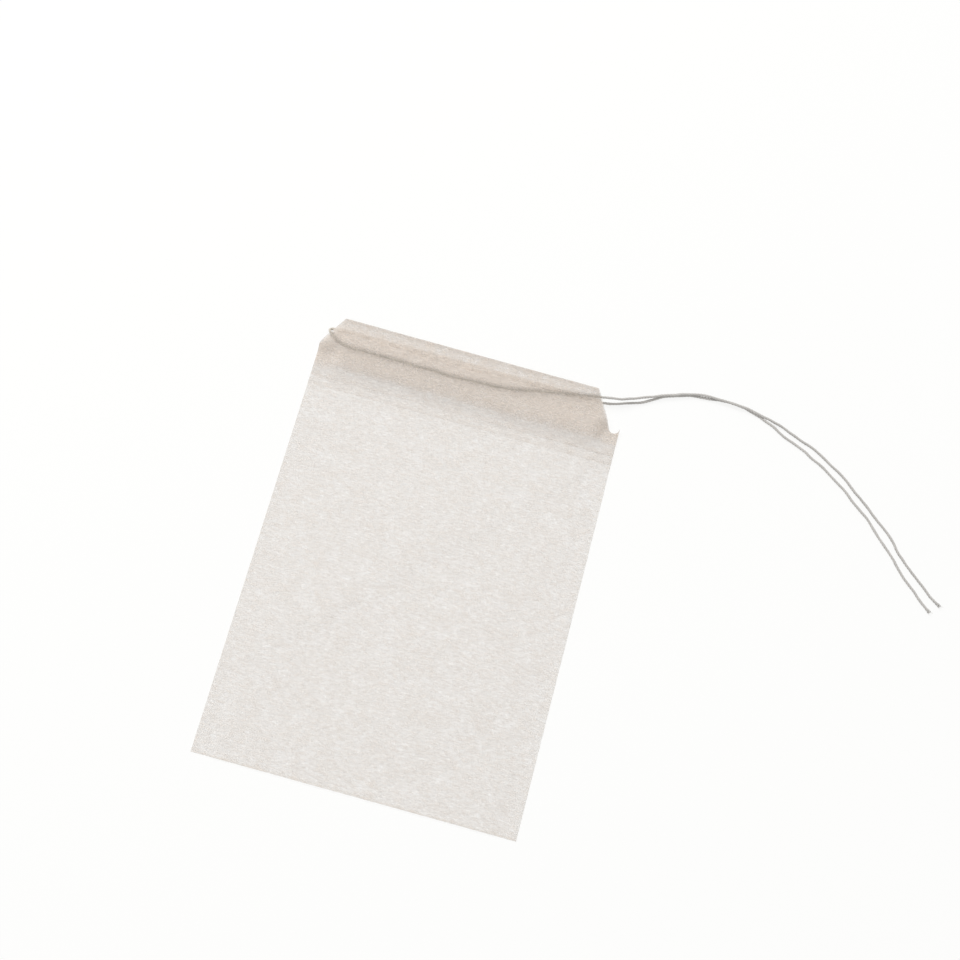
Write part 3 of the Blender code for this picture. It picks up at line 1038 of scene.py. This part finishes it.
def white_table(stage):
    """Matt white table top, shown as pale as in the photograph, with a faint shadow on it."""
    made, tree, output = new_material("matt_white_table_top")
    glow = add_node(tree, "ShaderNodeEmission", {"Color": stage.floor[:], "Strength": 1.0})
    board = add_node(
        tree,
        "ShaderNodeBsdfPrincipled",
        {"Base Color": stage.floor[:], "Roughness": 0.9, "Specular IOR Level": 0.1},
    )
    share = seen_share(tree, PLAIN_WHITE)
    mixed = add_node(
        tree, "ShaderNodeMixShader", {"Fac": share, 1: board.outputs[0], 2: glow.outputs[0]}
    )
    tree.links.new(mixed.outputs[0], output.inputs["Surface"])
    return made


def add_floor(stage):
    """The table top, just under the paper."""
    bm = bmesh.new()
    bmesh.ops.create_grid(bm, x_segments=1, y_segments=1, size=1.5)
    bmesh.ops.translate(bm, vec=(0, 0, -stage.floor_drop), verts=bm.verts[:])
    mesh = bpy.data.meshes.new("table_top")
    bm.to_mesh(mesh)
    bm.free()
    floor = bpy.data.objects.new("table_top", mesh)
    bpy.context.scene.collection.objects.link(floor)
    mesh.materials.append(white_table(stage))


def add_world(stage):
    """Even white surroundings, shown as the same pale white as the table."""
    world = bpy.data.worlds.new("white_surroundings")
    world.use_nodes = True
    bpy.context.scene.world = world
    tree = world.node_tree
    tree.nodes.clear()
    output = add_node(tree, "ShaderNodeOutputWorld")
    share = seen_share(tree, 1.0)
    light = add_node(
        tree, "ShaderNodeBackground", {"Color": (1, 1, 1, 1), "Strength": stage.surroundings}
    )
    seen = add_node(tree, "ShaderNodeBackground", {"Color": stage.floor[:], "Strength": 1.0})
    mixed = add_node(tree, "ShaderNodeMixShader", {"Fac": share, 1: light.outputs[0], 2: seen.outputs[0]})
    tree.links.new(mixed.outputs[0], output.inputs["Surface"])


def add_softbox(stage):
    """One round soft lamp beyond the bag's left corner, turned to the bag's middle."""
    lamp = bpy.data.lights.new("key_softbox", "AREA")
    lamp.shape = "DISK"
    lamp.size = stage.lamp_size
    lamp.energy = stage.lamp_power
    softbox = bpy.data.objects.new("key_softbox", lamp)
    softbox.location = stage.lamp_place
    softbox.rotation_euler = (-Vector(stage.lamp_place)).to_track_quat("-Z", "Y").to_euler()
    bpy.context.scene.collection.objects.link(softbox)


def add_camera(stage):
    """The photograph's view, from above the bag."""
    lens = bpy.data.cameras.new("camera")
    lens.lens = stage.lens
    lens.sensor_width = 36
    lens.clip_start = 0.01
    camera = bpy.data.objects.new("camera", lens)
    camera.location = stage.place
    camera.rotation_euler = stage.turn
    bpy.context.scene.collection.objects.link(camera)
    bpy.context.scene.camera = camera


class TEABAG_OT_stage(bpy.types.Operator):
    """Set the camera, the table and the soft light"""

    bl_idname = "teabag.stage"
    bl_label = "Set the stage"

    def execute(self, context):
        stage = context.scene.teabag_stage
        scene = context.scene
        scene.view_settings.view_transform = "Standard"
        # Light that goes straight through the layers of paper meets many faces of it
        scene.cycles.transparent_max_bounces = 48
        add_camera(stage)
        add_floor(stage)
        add_world(stage)
        add_softbox(stage)
        return {"FINISHED"}


class TEABAG_PT_panel(bpy.types.Panel):
    """The bag's pieces and their settings"""

    bl_label = "Tea filter bag"
    bl_idname = "TEABAG_PT_panel"
    bl_space_type = "VIEW_3D"
    bl_region_type = "UI"
    bl_category = "Tea filter bag"

    def draw(self, context):
        groups = (
            (context.scene.teabag_stage, "teabag.stage"),
            (context.scene.teabag_thread, "teabag.drawstring"),
            (context.scene.teabag_paper, "teabag.paper"),
        )
        for settings, operator in groups:
            box = self.layout.box()
            for name in settings.__annotations__:
                box.prop(settings, name)
            box.operator(operator)


SETTINGS = {"teabag_paper": PaperSettings, "teabag_thread": ThreadSettings, "teabag_stage": StageSettings}
CLASSES = (*SETTINGS.values(), TEABAG_OT_stage, TEABAG_OT_drawstring, TEABAG_OT_paper, TEABAG_PT_panel)


def register():
    """Adds the operators, the panel and the settings."""
    for made in CLASSES:
        bpy.utils.register_class(made)
    for name, group in SETTINGS.items():
        setattr(bpy.types.Scene, name, PointerProperty(type=group))


def unregister():
    """Takes them away again."""
    for name in SETTINGS:
        delattr(bpy.types.Scene, name)
    for made in reversed(CLASSES):
        bpy.utils.unregister_class(made)


def main():
    """Sets the stage, lays the thread and folds the paper."""
    register()
    bpy.ops.teabag.stage()
    bpy.ops.teabag.drawstring()
    bpy.ops.teabag.paper()


if __name__ == "__main__":
    main()
